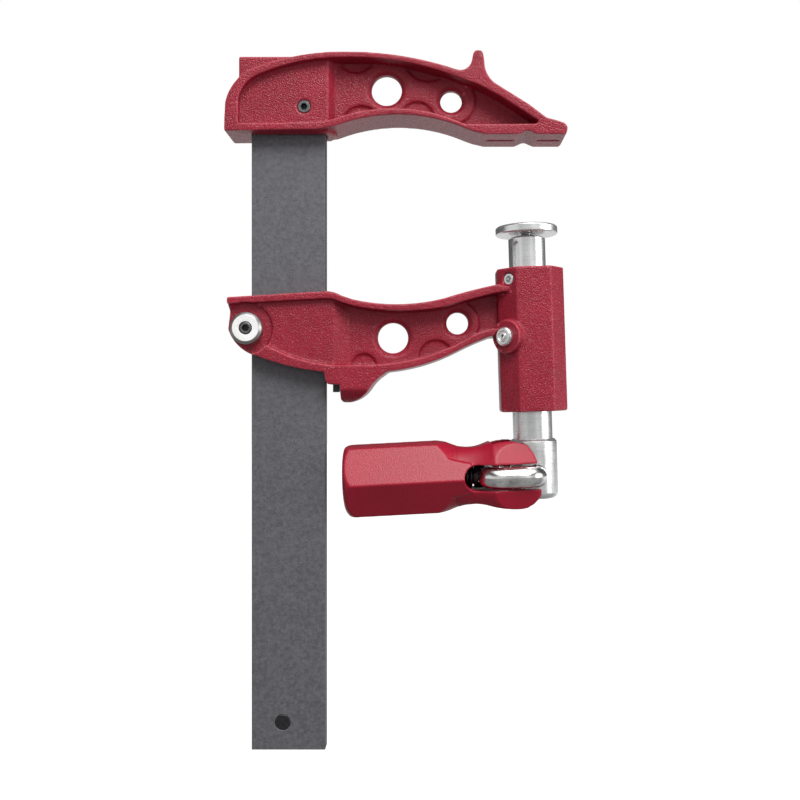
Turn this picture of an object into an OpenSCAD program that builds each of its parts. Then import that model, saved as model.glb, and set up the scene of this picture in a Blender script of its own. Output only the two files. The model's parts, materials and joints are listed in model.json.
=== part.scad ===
// F clamp with a sliding arm, a keyed plunger and a folding handle.
// X points from the bar to the jaw noses, Y from the front to the rear, Z up along the bar.
// The origin is the centre of the bar's lower end face.

/* [Bar] */
// Width of the flat bar
bar_w = 35; // [34:0.5:35.5]
// Thickness of the flat bar
bar_t = 8; // [6:0.5:8]
// Length of the flat bar
bar_l = 327; // [320:1:327.5]
// Diameter of the stop pin
stop_d = 7.3; // [5:0.1:8]
// Height of the stop pin above the bar's foot
stop_z = 13; // [10:0.5:20]
// Length of the stop pin that stands proud at the rear
stop_proud = 4; // [2:0.5:6]

/* [Castings] */
// Depth of both castings at their flanges
flange_t = 24.4; // [23:0.2:25]
// Depth of the web plateau around the lightening holes
web_t = 7; // [5:0.5:8]
// Depth of the web in the recesses
recess_t = 4.6; // [3:0.2:4.8]
// Depth of the fixed jaw's socket block
socket_t = 17; // [16:0.5:18]
// Depth of the sliding arm's guide block
guide_t = 18.6; // [18:0.2:20]
// Radius of the large lightening holes
big_hole_r = 7.25; // [6:0.25:7.5]
// Radius of the small lightening holes
small_hole_r = 5.2; // [4:0.1:5.5]
// Clearance between the bar and the sliding arm on each face
guide_gap = 0.1; // [0.05:0.01:0.2]

/* [Spindle] */
// Lean of the spindle axis away from the bar's direction, in degrees
lean = 1.84; // [1.6:0.02:2]
// Diameter of the plunger
plunger_d = 17.5; // [16.5:0.1:17.5]
// Diameter of the spindle's lower rod
rod_d = 18.7; // [18:0.1:18.7]
// Diameter of the spindle ferrule
ferrule_d = 22.5; // [21.5:0.1:22.5]
// Pitch of the spindle thread
pitch = 4; // [3:0.5:4]
// Diameter of the swivel pad
pad_d = 29.4; // [24:0.2:30]
// Thickness of the swivel pad
pad_t = 4; // [3:0.5:5]
// Radial clearance of the running fits
fit_gap = 0.05; // [0.03:0.01:0.08]

/* [Handle] */
// Height of the hexagonal grip across its flats
grip_af = 32.5; // [31:0.2:34]
// Diameter of the link's round steel
link_d = 10; // [9:0.1:10]
// Distance between the link's two cross bars
link_pitch = 22.4; // [22:0.1:23]
// Height of the slot that the link lies in
link_slot_h = 12; // [11.6:0.1:12.4]

/* [Hidden] */

paint = [0.62, 0.11, 0.2];
zinc = [0.8, 0.81, 0.82];
black_steel = [0.12, 0.12, 0.13];
far = 60;

// Lightening holes: [x, z, radius]
jaw_holes = [[46.5, 313.7, big_hole_r], [77.2, 308.4, small_hole_r]];
arm_holes = [[49.5, 195.6, big_hole_r], [80.2, 202.6, small_hole_r]];
hole_bevel = 2.2;
// Round recesses beside the flanges: [x, z, radius]
jaw_scallops = [[32, 331.2, 9.9], [66.3, 328.8, 11.6], [34.5, 296.5, 9.6], [61, 299.5, 8.5]];
arm_scallops = [[35.8, 182, 6.2], [70, 186.5, 8.2]];
jaw_end_r = 11.3;
arm_end_r = 10.2;

jaw_foot_z = 291.8;
land_z = 290.2;
block_top_z = 327.7;
jaw_screw_at = [7.9, 304.2];
set_screw_d = 6.2;
set_hex = 3.46;

bearing_at = [-18.9, 199.7];
bearing_pin_d = 7;
bearing_flat_x = -bar_w / 2 - 0.06;
disc_d = 15.1;
disc_seat_y = 8;
disc_t = 4.7;
spot_r = 12.2;

brake_pivot = [22.9, 195.4];
brake_pin_d = 2.5;
brake_half = 3;
brake_spring_z = 181;
brake_pin_front = 7;
lump_r = 14;

// Stations along the spindle axis, measured from the handle's pivot
pivot = [117, 0, 130.6];
ferrule_low = -11.3;
ferrule_top = 17;
body_low = 30.1;
body_top = 97.8;
rod_top = 35.2;
washer_t = 1.5;
journal_d = 14;
journal_top = rod_top + washer_t + 4;
clip_t = 1.2;
screw_top = 86;
screw_bore_top = 101;
screw_d = 12;
plunger_low = 57;
plunger_top = 113.1;
seat_low = 103;
ball_w = 107.5;
ball_r = 4;
pad_low = 114.3;
key_w = 92.4;
groove_low = 63;
groove_half = 2;
groove_run = 45.6;
nipple_w = 65.5;
side_turn = 43;

bend_r = 5.9;
leg_y = 16.5;
fork_half = 11.55;
fork_depth = 20.5;
slot_end = 33.8;
flat_at = [-18.5, -19, 5.4];
flat_turn = [0, 67.2, -77.9];
grip_end = 91;
spring_wire = 1.6;
spring_r = 5;
cup_start = 27.5;
cup_t = 1.4;
cup_r = 5.6;
stub_r = 3.8;
spring_bore_start = 25;
spring_bore_end = 45.8;

// Arc from a through b to c, in n equal steps
function arc(a, b, c, n = 10) =
    let (d = 2 * (a.x * (b.y - c.y) + b.x * (c.y - a.y) + c.x * (a.y - b.y)),
        aa = a * a, bb = b * b, cc = c * c,
        m = [(aa * (b.y - c.y) + bb * (c.y - a.y) + cc * (a.y - b.y)) / d,
            (aa * (c.x - b.x) + bb * (a.x - c.x) + cc * (b.x - a.x)) / d],
        r = norm(a - m),
        start = atan2(a.y - m.y, a.x - m.x),
        sweep = atan2(c.y - m.y, c.x - m.x) - start,
        ccw = (b.x - a.x) * (c.y - a.y) - (b.y - a.y) * (c.x - a.x) > 0,
        turn = ccw ? (sweep < 0 ? sweep + 360 : sweep) : (sweep > 0 ? sweep - 360 : sweep))
    [for (i = [0 : n]) m + r * [cos(start + turn * i / n), sin(start + turn * i / n)]];

// A plate in the X-Z plane, centred on Y
module plate(outline, depth) {
    rotate([90, 0, 0]) linear_extrude(depth, center = true) polygon(outline);
}

// A round bar along Y, centred on Y
module cross_bar(at, d, length) {
    translate([at.x, 0, at.y]) rotate([90, 0, 0]) cylinder(d = d, h = length, center = true, $fn = 64);
}

// A hole through the web, opened by a bevel on both faces
module web_hole(h) {
    cross_bar([h.x, h.y], 2 * h[2], far);
    for (side = [0, 180]) translate([h.x, 0, h.y]) rotate([90, 0, side])
        translate([0, 0, web_t / 2 - 1.7])
            cylinder(r1 = h[2], r2 = h[2] + hole_bevel + 0.2, h = 1.9, $fn = 64);
}

// The web: a thin core, and a plateau that leaves the round recesses
module web(outline, pocket, holes, scallops, end_r) {
    last = holes[len(holes) - 1];
    plate(outline, recess_t);
    difference() {
        intersection() {
            plate(pocket, web_t);
            union() {
                translate([last.x - 100, -far / 2, last.y - 50]) cube([100, far, 100]);
                cross_bar([last.x, last.y], 2 * end_r, far);
            }
        }
        for (s = scallops) cross_bar([s.x, s.y], 2 * s[2], far);
    }
}

// A block around the bar that tapers to the web on its right
module block(x0, x1, z0, z1, depth, taper) {
    half = depth / 2;
    translate([0, 0, z0]) linear_extrude(z1 - z0)
        polygon([[x0, -half], [x1, -half], [x1 + taper, -web_t / 2 + 0.6], [x1 + taper, web_t / 2 - 0.6],
            [x1, half], [x0, half]]);
}

// Places its children on the spindle axis, with the handle's pivot at zero
module on_spindle() {
    translate(pivot) rotate([0, -lean, 0]) children();
}

// Places its children on the slanted front left side, along a radius of the spindle axis
module on_side(w) {
    on_spindle() translate([0, 0, w]) rotate([0, 0, -side_turn]) rotate([90, 0, 0]) children();
}

// A coil spring along Z
module coil(r, wire, length, turns) {
    sides = 8;
    steps = turns * 16;
    ring = [for (i = [0 : steps]) let (a = 360 * i / 16, z = wire / 2 + (length - wire) * i / steps)
        for (k = [0 : sides - 1]) let (q = 360 * k / sides, s = r + wire / 2 * cos(q))
            [s * cos(a), s * sin(a), z + wire / 2 * sin(q)]];
    walls = [for (i = [0 : steps - 1], k = [0 : sides - 1]) let (n = (k + 1) % sides)
        [i * sides + k, (i + 1) * sides + k, (i + 1) * sides + n, i * sides + n]];
    polyhedron(ring, concat(walls, [[for (k = [0 : sides - 1]) k]],
        [[for (k = [sides - 1 : -1 : 0]) steps * sides + k]]));
}

module bar() {
    color([0.36, 0.36, 0.38]) difference() {
        linear_extrude(bar_l) square([bar_w, bar_t], center = true);
        cross_bar([-2.8, stop_z], stop_d, far);
    }
}

jaw_outline = concat([[-29.1, jaw_foot_z]],
    arc([-28.6, 305], [-25, 313.3], [-17.6, 320.3]), arc([-17.6, 320.3], [4.6, 326.8], [30, 328.8]),
    arc([30, 328.8], [53.6, 326.9], [79.5, 320.6]), arc([79.5, 320.6], [84.6, 321.3], [86.8, 325], 6),
    [[87.4, 328.3], [88.5, 329.4], [90.9, 329.4], [92, 328.3]],
    arc([92.6, 324.5], [94.3, 317.8], [98.3, 313.7], 6),
    [[113.7, 304.1], [121.7, 298], [125.7, 297], [130.1, 295.6], [131.5, 293.8], [131.3, 291.2],
    [130.3, land_z], [117.2, land_z], [113.6, land_z + 1.7], [112.2, land_z + 1.7],
    [108.6, land_z], [93, land_z], [87.6, land_z + 1.3]],
    arc([84.5, 292.6], [53.3, 299.4], [22.5, 293.9], 14), [[14, 292.5]]);
jaw_pocket = concat([[-22.4, 295.2]],
    arc([-22.4, 306.5], [-19.4, 313.3], [-12, 318.6]), arc([-12, 318.6], [4, 323.7], [24.8, 326.1]),
    arc([24.8, 326.1], [48.7, 325], [77.6, 317.9]),
    [[90.3, 313.2], [99.7, 308.2], [118.2, 296.4], [117, 295.2], [84, 294.9]],
    arc([80, 296.4], [50, 302.4], [21.7, 297.2]), [[14, 295.9]]);

module fixed_jaw() {
    color(paint) difference() {
        union() {
            difference() {
                plate(jaw_outline, flange_t);
                plate(jaw_pocket, far);
            }
            web(jaw_outline, jaw_pocket, jaw_holes, jaw_scallops, jaw_end_r);
            block(-22.8, 19.3, jaw_foot_z, block_top_z, socket_t, 3.2);
        }
        translate([0, 0, jaw_foot_z]) cube([bar_w + 0.1, bar_t + 0.1, 100], center = true);
        for (h = jaw_holes) web_hole(h);
        translate([jaw_screw_at.x, -bar_t / 2 + 1, jaw_screw_at.y]) rotate([90, 0, 0])
            cylinder(d = set_screw_d + 0.1, h = 20, $fn = 48);
        for (x = [[94, 107.4], [118, 129.2]]) translate([x[0], -1, land_z - 1]) cube([x[1] - x[0], 2, 1.8]);
    }
}

// A socket set screw along +Z, with its open end on top
module set_screw(d, length, hex, depth) {
    difference() {
        union() {
            cylinder(d = d, h = length - 0.4, $fn = 48);
            translate([0, 0, length - 0.4]) cylinder(d1 = d, d2 = d - 0.8, h = 0.4, $fn = 48);
        }
        translate([0, 0, length - depth]) cylinder(d = hex, h = depth + 1, $fn = 6);
    }
}

module jaw_screw() {
    color(zinc) translate([jaw_screw_at.x, -bar_t / 2, jaw_screw_at.y]) rotate([90, 0, 0])
        set_screw(set_screw_d, socket_t / 2 - bar_t / 2 - 0.2, set_hex, 2.6);
}

module bar_stop_pin() {
    color([0.2, 0.15, 0.13]) translate([-2.8, -bar_t / 2, stop_z]) rotate([-90, 0, 0])
        cylinder(d = stop_d, h = bar_t + stop_proud, $fn = 48);
}

arm_outline = concat([[-27.8, 214.2]], arc([17.5, 216.9], [21.5, 216.7], [25.6, 215], 4),
    arc([31, 213.2], [52.5, 210.9], [73.9, 213.7]), arc([73.9, 213.7], [86, 217.2], [99, 220.2], 5),
    [[106, 221], [106, 196], [99, 196.1]], arc([96, 196.1], [87.3, 192.6], [79.3, 188.7], 5),
    arc([79.3, 188.7], [62, 182.1], [44.6, 179.2]), arc([17, 179.2], [-1, 182.5], [-16.3, 187.6], 8),
    arc([-16.3, 187.3], [-24.3, 192.8], [-28, 199.5], 8), [[-27, 207.6], [-27.8, 211.4]]);
arm_pocket = concat([[-40, 210.8], [-27, 211]], arc([18.5, 213.6], [21.5, 213.3], [25.6, 211.8], 4),
    arc([31, 210.2], [53.5, 207.8], [73.9, 209.6]), arc([73.9, 209.6], [84.6, 212.8], [97, 216], 5),
    [[106, 217.4], [106, 199.4]], arc([96.5, 199.4], [90.5, 197.9], [84.6, 194.8], 5),
    arc([84.6, 194.8], [63, 186], [38, 182.6]), arc([30, 182.4], [3, 186.3], [-11.6, 193.3], 8),
    [[-17, 196], [-40, 196]]);
lump_outline = concat([[17.6, 182], [17.8, 178.5], [18.3, 175.1], [19.4, 173.4], [25, 173.3], [25.1, 166.1],
    [26.3, 164.9]], arc([29.4, 164.9], [34.6, 167], [38.6, 170.9], 6),
    arc([38.6, 170.9], [41.7, 175], [46, 178.4], 5), [[50, 182]]);
body_plan = [[-6.8, -15.5], [9.2, -15.5], [16.2, -6.5], [16.2, 6.5], [9.2, 15.5], [-6.8, 15.5],
    [-15.2, 6.5], [-15.2, -6.5]];

module sliding_arm() {
    color(paint) difference() {
        union() {
            difference() {
                plate(arm_outline, flange_t);
                plate(arm_pocket, far);
            }
            web(arm_outline, arm_pocket, arm_holes, arm_scallops, arm_end_r);
            intersection() {
                plate(arm_outline, flange_t);
                block(-30, 22.2, 170, 220, guide_t, 7);
            }
            intersection() {
                plate(lump_outline, flange_t);
                translate([0, 0, 178]) rotate([0, 90, 0]) cylinder(r = lump_r, h = far, $fn = 96);
            }
            on_spindle() translate([0, 0, body_low]) linear_extrude(body_top - body_low) polygon(body_plan);
            on_side(nipple_w) translate([0, 0, 11]) cylinder(r = 8, h = 7.4, $fn = 64);
        }
        arm_guide();
        arm_bores();
        brake_chamber();
        for (h = arm_holes) web_hole(h);
    }
}

// The passage for the bar, and the seats of the bearing pin and its discs
module arm_guide() {
    half_t = bar_t / 2 + guide_gap;
    translate([-18, -half_t, 150]) cube([bar_w / 2 + 0.3 + 18, 2 * half_t, 90]);
    cross_bar(bearing_at, bearing_pin_d, far);
    for (side = [0, 180]) translate([bearing_at.x, 0, bearing_at.y]) rotate([90, 0, side])
        translate([0, 0, disc_seat_y]) cylinder(r = spot_r, h = 20, $fn = 64);
}

// The stepped bore of the spindle, the key screw's hole and the nipple's hole
module arm_bores() {
    on_spindle() {
        translate([0, 0, body_low - 1])
            cylinder(d = rod_d + 2 * fit_gap, h = rod_top + washer_t + fit_gap - body_low + 1, $fn = 96);
        translate([0, 0, body_low]) cylinder(d = journal_d + 2 * fit_gap, h = 20, $fn = 96);
        translate([0, 0, journal_top]) cylinder(d = plunger_d + 2 * fit_gap, h = 80, $fn = 96);
    }
    on_side(key_w) cylinder(d = 5.8, h = 30, $fn = 48);
    on_side(key_w) translate([0, 0, 15.1]) cylinder(d = 6.8, h = 9, $fn = 48);
    on_side(nipple_w) cylinder(d = 2, h = 20, $fn = 32);
    on_side(nipple_w) translate([0, 0, 11.6]) cylinder(d = 6, h = 20, $fn = 48);
    on_side(nipple_w) translate([0, 0, 18.4]) cylinder(r = 4.8, h = 9, $fn = 48);
}

// The chamber of the brake shoe, open towards the bar and below
module brake_chamber() {
    half = brake_half + 0.3;
    translate([20.7, -half, 160]) cube([4.4, 2 * half, 38.6]);
    translate([17, -half, 183]) cube([4, 2 * half, 11]);
    translate([24, 0, brake_spring_z]) rotate([0, 90, 0]) cylinder(d = 4.6, h = 5.6, $fn = 48);
    brake_pin(far);
}

module bearing_pin() {
    color([0.55, 0.55, 0.56]) difference() {
        cross_bar(bearing_at, bearing_pin_d, 2 * disc_seat_y);
        translate([bearing_flat_x, -bar_t / 2 - 0.6, 190]) cube([10, bar_t + 1.2, 20]);
        for (side = [0, 180]) translate([bearing_at.x, 0, bearing_at.y]) rotate([90, 0, side])
            translate([0, 0, disc_seat_y - 3]) cylinder(d = 3, h = 4, $fn = 32);
    }
}

// A turned disc with a bevelled rim and a stepped bore for its screw
module bearing_disc(side) {
    translate([bearing_at.x, 0, bearing_at.y]) rotate([90, 0, side]) translate([0, 0, disc_seat_y])
        difference() {
            rotate_extrude($fn = 96) polygon([[0, 0], [disc_d / 2 - 0.4, 0], [disc_d / 2, 0.4],
                [disc_d / 2, disc_t - 1.3], [disc_d / 2 - 1.3, disc_t], [0, disc_t]]);
            translate([0, 0, -1]) cylinder(d = 3, h = 10, $fn = 32);
            translate([0, 0, 1.6]) cylinder(d = 6, h = 10, $fn = 48);
        }
}

// A round-headed socket screw that holds a bearing disc
module bearing_screw(side) {
    translate([bearing_at.x, 0, bearing_at.y]) rotate([90, 0, side]) {
        translate([0, 0, disc_seat_y - 3]) cylinder(d = 3, h = 4.6, $fn = 32);
        translate([0, 0, disc_seat_y + 1.6]) set_screw(5.8, disc_t - 1.6, set_hex, 2);
    }
}

module bearing_disc_front() {
    color(zinc) bearing_disc(0);
}

module bearing_disc_rear() {
    color(zinc) bearing_disc(180);
}

module bearing_screw_front() {
    color(black_steel) bearing_screw(0);
}

module bearing_screw_rear() {
    color(black_steel) bearing_screw(180);
}

// A round bar along Y that starts inside the guide block and runs to the rear
module brake_pin(length) {
    translate([brake_pivot.x, -brake_pin_front, brake_pivot.y]) rotate([-90, 0, 0])
        cylinder(d = brake_pin_d, h = length, $fn = 64);
}

module brake_pivot_pin() {
    color(black_steel) brake_pin(brake_pin_front + guide_t / 2);
}

module brake_spring() {
    color(black_steel) translate([23.9, 0, brake_spring_z]) rotate([0, 90, 0]) coil(1.6, 0.6, 5.5, 5);
}

// A lever that hangs from its pin, with a nose that bears on the bar's front edge
module brake_shoe() {
    color(black_steel) difference() {
        union() {
            translate([21, -brake_half, 169.8]) cube([2.8, 2 * brake_half, 25]);
            translate([bar_w / 2 + 0.06, -brake_half, 185]) cube([4, 2 * brake_half, 5]);
            cross_bar(brake_pivot, 4, 2 * brake_half);
        }
        cross_bar(brake_pivot, brake_pin_d + 2 * fit_gap, far);
    }
}

module key_screw() {
    color(zinc) on_side(key_w) {
        translate([0, 0, 7.5]) cylinder(d = 3.6, h = 2, $fn = 32);
        translate([0, 0, 9.5]) set_screw(5.7, 5.6, set_hex, 2.4);
    }
}

module grease_nipple() {
    color(zinc) on_side(nipple_w) difference() {
        rotate_extrude($fn = 72) polygon([[0, 11.6], [3, 11.6], [3, 18.4], [4.4, 18.4], [4.4, 20], [3.7, 20.7],
            [2.7, 20.7], [2.4, 20.3], [1.9, 20.3], [1.6, 21], [0, 21]]);
        translate([0, 0, 17]) cylinder(r = 1.3, h = 2.9, $fn = 32);
        translate([0, 0, 18]) cylinder(r = 0.9, h = 4, $fn = 32);
        translate([0, 0, 11]) cylinder(r = 1, h = 7, $fn = 32);
    }
}

module nipple_spring() {
    color(zinc) on_side(nipple_w) translate([0, 0, 17]) coil(0.75, 0.25, 0.95, 2);
}

module nipple_ball() {
    color([0.7, 0.7, 0.7]) on_side(nipple_w) translate([0, 0, 19.1]) sphere(r = 1.1, $fn = 32);
}

module plunger() {
    color(zinc) difference() {
        on_spindle() difference() {
            rotate_extrude($fn = 96) polygon([[0, plunger_low], [plunger_d / 2 - 0.6, plunger_low],
                [plunger_d / 2, plunger_low + 0.6], [plunger_d / 2, plunger_top - 0.8],
                [plunger_d / 2 - 0.8, plunger_top], [0, plunger_top]]);
            translate([0, 0, plunger_low - 1])
                cylinder(d = screw_d + 0.2, h = screw_bore_top - plunger_low + 1, $fn = 72);
            translate([0, 0, seat_low]) cylinder(r = 5.5 + fit_gap, h = 20, $fn = 72);
        }
        on_side(groove_low) translate([0, 0, 7.2]) linear_extrude(9) polygon(concat(
            arc([groove_half, 0], [0, -groove_half], [-groove_half, 0]),
            arc([-groove_half, groove_run], [0, groove_run + groove_half], [groove_half, groove_run])));
    }
}

// The cup that holds the swivel pad's ball
module pad_seat_ring() {
    color([0.6, 0.6, 0.6]) on_spindle() rotate_extrude($fn = 72)
        polygon([[0, seat_low + 0.1], [5.5, seat_low + 0.1], [5.5, plunger_top - 0.4],
            [3.2, plunger_top - 0.4], [3.2, ball_w + 4.3], [4.1, ball_w + 4.2], [4.1, ball_w - 4.1],
            [0, ball_w - 4.1]]);
}

module swivel_pad() {
    color(zinc) on_spindle() {
        translate([0, 0, ball_w]) sphere(r = ball_r, $fn = 64);
        translate([0, 0, ball_w]) cylinder(d = 5, h = pad_low - ball_w + 1, $fn = 48);
        rotate_extrude($fn = 128) polygon([[0, pad_low], [pad_d / 2 - 0.5, pad_low],
            [pad_d / 2, pad_low + 0.5], [pad_d / 2, pad_low + pad_t - 0.7],
            [pad_d / 2 - 0.7, pad_low + pad_t], [0, pad_low + pad_t]]);
    }
}

// The rod, its journal and the ridges of its thread, in one turned shape
module spindle() {
    root = screw_d / 2 - 1.2;
    first = journal_top + clip_t + 1;
    turns = floor((screw_top - first) / pitch);
    ridges = [for (i = [0 : turns - 1]) let (z = first + i * pitch)
        each [[root, z + 0.9], [screw_d / 2, z + 1.6], [screw_d / 2, z + 2.6], [root, z + 3.3]]];
    color(zinc) on_spindle() rotate_extrude($fn = 96)
        polygon(concat([[0, 7], [rod_d / 2, 7], [rod_d / 2, rod_top], [journal_d / 2, rod_top],
            [journal_d / 2, journal_top + fit_gap], [6, journal_top + fit_gap],
            [6, journal_top + clip_t + fit_gap], [6.6, journal_top + clip_t + fit_gap],
            [6.6, first], [root, first]], ridges, [[root, screw_top], [0, screw_top]]));
}

module spindle_ferrule() {
    r = ferrule_d / 2;
    color(zinc) on_spindle() difference() {
        rotate_extrude($fn = 96) polygon(concat([[0, ferrule_low]],
            arc([r - 3, ferrule_low], [r - 0.9, ferrule_low + 0.9], [r, ferrule_low + 3], 6),
            [[r, ferrule_top - 1.2], [r - 1.2, ferrule_top], [0, ferrule_top]]));
        translate([0, 0, 7]) cylinder(d = rod_d, h = 20, $fn = 96);
        rotate([90, 0, 0]) cylinder(d = link_d + 0.16, h = far, center = true, $fn = 64);
        for (side = [0, 180]) rotate([90, 0, side]) translate([0, 0, leg_y - bend_r - 0.4])
            cylinder(d1 = link_d + 0.16, d2 = link_d + 1.16, h = 1.6, $fn = 64);
    }
}

module thrust_washer() {
    color([0.7, 0.55, 0.3]) on_spindle() translate([0, 0, rod_top]) difference() {
        cylinder(d = rod_d - 0.2, h = washer_t, $fn = 96);
        translate([0, 0, -1]) cylinder(d = journal_d, h = 5, $fn = 96);
    }
}

module spindle_circlip() {
    color(black_steel) on_spindle() translate([0, 0, journal_top + fit_gap]) difference() {
        cylinder(d = 16.6, h = clip_t, $fn = 72);
        translate([0, 0, -1]) cylinder(d = 12, h = 4, $fn = 72);
        translate([0, -1.5, -1]) cube([20, 3, 4]);
    }
}

// A closed ring of round steel: two cross bars, two legs and four bends
module handle_link() {
    straight = leg_y - bend_r;
    color([0.5, 0.5, 0.51]) on_spindle() {
        for (x = [0, -link_pitch]) translate([x, 0, 0]) rotate([90, 0, 0])
            cylinder(d = link_d, h = 2 * straight, center = true, $fn = 64);
        for (side = [-1, 1]) translate([-bend_r, side * leg_y, 0]) rotate([0, -90, 0])
            cylinder(d = link_d, h = link_pitch - 2 * bend_r, $fn = 64);
        for (x = [0, 1], y = [0, 1]) mirror([0, y, 0])
            translate([x == 0 ? -bend_r : bend_r - link_pitch, straight, 0]) mirror([x, 0, 0])
                rotate_extrude(angle = 90, $fn = 64) translate([bend_r, 0]) circle(d = link_d, $fn = 64);
    }
}

// Half profile of the turned grip: [radius, distance from the pivot]
grip_profile = concat([[0, grip_end], [11, grip_end]],
    arc([13, grip_end - 0.2], [17.2, grip_end - 2.2], [19.6, grip_end - 7], 6),
    [[19.6, 48.5]], arc([18.6, 46], [16.2, 41], [14, 35], 6), [[13.6, 28], [0, 28]]);
// Half profile of the turned fork
fork_profile = concat([[0, 37], [15.3, 37]], arc([15.3, 34], [16.2, 28], [19.6, 20], 6),
    arc([19.6, 20], [20.4, 13], [19.6, 6], 4), [[17.4, 1.2], [15, -2], [0, -2]]);
// The fork seen from the front: [distance from the pivot along X, height]
fork_outline = concat([[-37, 14.6]], arc([-35, 14.3], [-30, 13.9], [-24, 15.2], 6),
    arc([-24, 15.2], [-18.5, 16.8], [-13, 17.3], 4), [[-10.5, 16.6], [-4.1, 14.8], [-0.9, 10.4], [0.6, 6],
    [2, -6], [2, -11], [-1.8, -15]], arc([-9, -15.3], [-17, -14.4], [-24, -12.8], 5),
    arc([-26, -12.5], [-31, -12.4], [-37, -13.9], 5));

// The part of the grip that reaches along the slot, seen from the front
tongue_outline = concat(arc([-49, 17.2], [-44.6, 11.6], [-38, 8.6], 8), [[-33, 7.4], [-30.4, 7],
    [-30.4, -7], [-33, -7.4]], arc([-38, -8.6], [-44.6, -11.6], [-49, -17.2], 8));

// The hexagonal stock of the grip
module grip_hex() {
    corner = grip_af / sqrt(3);
    translate([-66, 0, 0.1]) rotate([4, -1.2, 0]) rotate([0, 90, 0]) rotate([0, 0, 90])
        linear_extrude(80, center = true) polygon([for (i = [0 : 5]) corner * [cos(60 * i), sin(60 * i)]]);
}

// Flats on the outer faces of the fork's four prong ends
module prong_flats() {
    for (y = [0, 1], z = [0, 1]) mirror([0, y, 0]) mirror([0, 0, z])
        translate(flat_at) rotate(flat_turn) translate([-far / 2, -far / 2, 0]) cube([far, far, far]);
}

module handle() {
    color([0.7, 0.09, 0.14]) on_spindle() difference() {
        union() {
            intersection() {
                translate([0, 0, 0.3]) rotate([0, -90, 0]) rotate_extrude($fn = 96) polygon(grip_profile);
                grip_hex();
            }
            intersection() {
                grip_hex();
                plate(tongue_outline, far);
            }
            intersection() {
                rotate([0, -90, 0]) rotate_extrude($fn = 96) polygon(fork_profile);
                plate(fork_outline, far);
            }
        }
        prong_flats();
        translate([-fork_depth, -fork_half, -far / 2]) cube([far, 2 * fork_half, far]);
        translate([-slot_end + link_slot_h / 2, -far / 2, -link_slot_h / 2]) cube([far, far, link_slot_h]);
        translate([-slot_end + link_slot_h / 2, 0, 0]) rotate([90, 0, 0])
            cylinder(d = link_slot_h, h = far, center = true, $fn = 64);
        translate([-spring_bore_start, 0, 0]) rotate([0, -90, 0])
            cylinder(d = 2 * spring_r + spring_wire + 0.3, h = spring_bore_end - spring_bore_start, $fn = 64);
    }
}

module handle_spring() {
    color(black_steel) on_spindle() translate([-cup_start - cup_t - 0.05, 0, 0]) rotate([0, -90, 0])
        coil(spring_r, spring_wire, 16.4, 7.5);
}

// A cup between the spring and the link's rear cross bar, with a stub that centres the spring
module spring_cup() {
    color(black_steel) on_spindle() translate([-cup_start, 0, 0]) rotate([0, -90, 0]) rotate_extrude($fn = 72)
        polygon([[0, 0], [cup_r, 0], [cup_r, cup_t], [stub_r, cup_t], [stub_r, cup_t + 2],
            [stub_r - 0.6, cup_t + 2.6], [0, cup_t + 2.6]]);
}

bar();
fixed_jaw();
jaw_screw();
bar_stop_pin();
sliding_arm();
bearing_pin();
bearing_disc_front();
bearing_disc_rear();
bearing_screw_front();
bearing_screw_rear();
brake_pivot_pin();
brake_spring();
brake_shoe();
key_screw();
grease_nipple();
nipple_spring();
nipple_ball();
plunger();
pad_seat_ring();
swivel_pad();
spindle();
spindle_ferrule();
thrust_washer();
spindle_circlip();
handle_link();
handle();
handle_spring();
spring_cup();
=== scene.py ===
"""F clamp: the looks of a cast bar clamp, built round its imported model.

Castings and the handle become rounded shells, steel parts get eased edges, the link and the
springs are swept by geometry nodes, and every surface gets a procedural finish.
"""
import json
import math
import bmesh
import bpy
from mathutils import Matrix, Vector


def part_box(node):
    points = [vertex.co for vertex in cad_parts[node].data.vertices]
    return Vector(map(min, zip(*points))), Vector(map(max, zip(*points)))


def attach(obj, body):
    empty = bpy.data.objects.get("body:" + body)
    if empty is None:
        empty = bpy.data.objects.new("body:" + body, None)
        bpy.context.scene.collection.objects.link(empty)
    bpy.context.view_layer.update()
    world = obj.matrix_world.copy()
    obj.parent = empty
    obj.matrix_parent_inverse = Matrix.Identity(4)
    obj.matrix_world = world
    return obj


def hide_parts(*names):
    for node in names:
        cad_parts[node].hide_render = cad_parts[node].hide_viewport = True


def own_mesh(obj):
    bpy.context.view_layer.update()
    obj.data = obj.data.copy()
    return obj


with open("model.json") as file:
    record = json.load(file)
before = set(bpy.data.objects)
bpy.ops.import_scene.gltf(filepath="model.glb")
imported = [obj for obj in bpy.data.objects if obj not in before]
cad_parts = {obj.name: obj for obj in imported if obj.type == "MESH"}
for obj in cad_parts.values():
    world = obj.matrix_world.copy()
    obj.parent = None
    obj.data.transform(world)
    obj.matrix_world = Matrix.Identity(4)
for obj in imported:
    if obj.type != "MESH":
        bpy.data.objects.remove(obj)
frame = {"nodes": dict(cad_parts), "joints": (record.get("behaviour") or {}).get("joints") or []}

bl_info = {
    "name": "F clamp looks",
    "version": (1, 0, 0),
    "blender": (4, 5, 0),
    "location": "3D View > Sidebar > F clamp",
    "description": "Builds the finished pieces of an F clamp round its packed frame",
    "category": "Object",
}

MM = 0.001
MERGE_DISTANCE = 1e-6
FLAT_ANGLE = math.radians(0.4)
MOST_TRIANGLES = 180000
# Edges sharper than this many degrees stay crisp
STEEL_CREASE = 38
BAR_CREASE = 40
# The part of its range in which a noise, or a grain, does most of its changing
NOISE_RANGE = (0.3, 0.7)
GRAIN_RANGE = (0.3, 0.8)
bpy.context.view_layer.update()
JOINTS = {joint["name"]: joint for joint in frame["joints"]}


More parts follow.
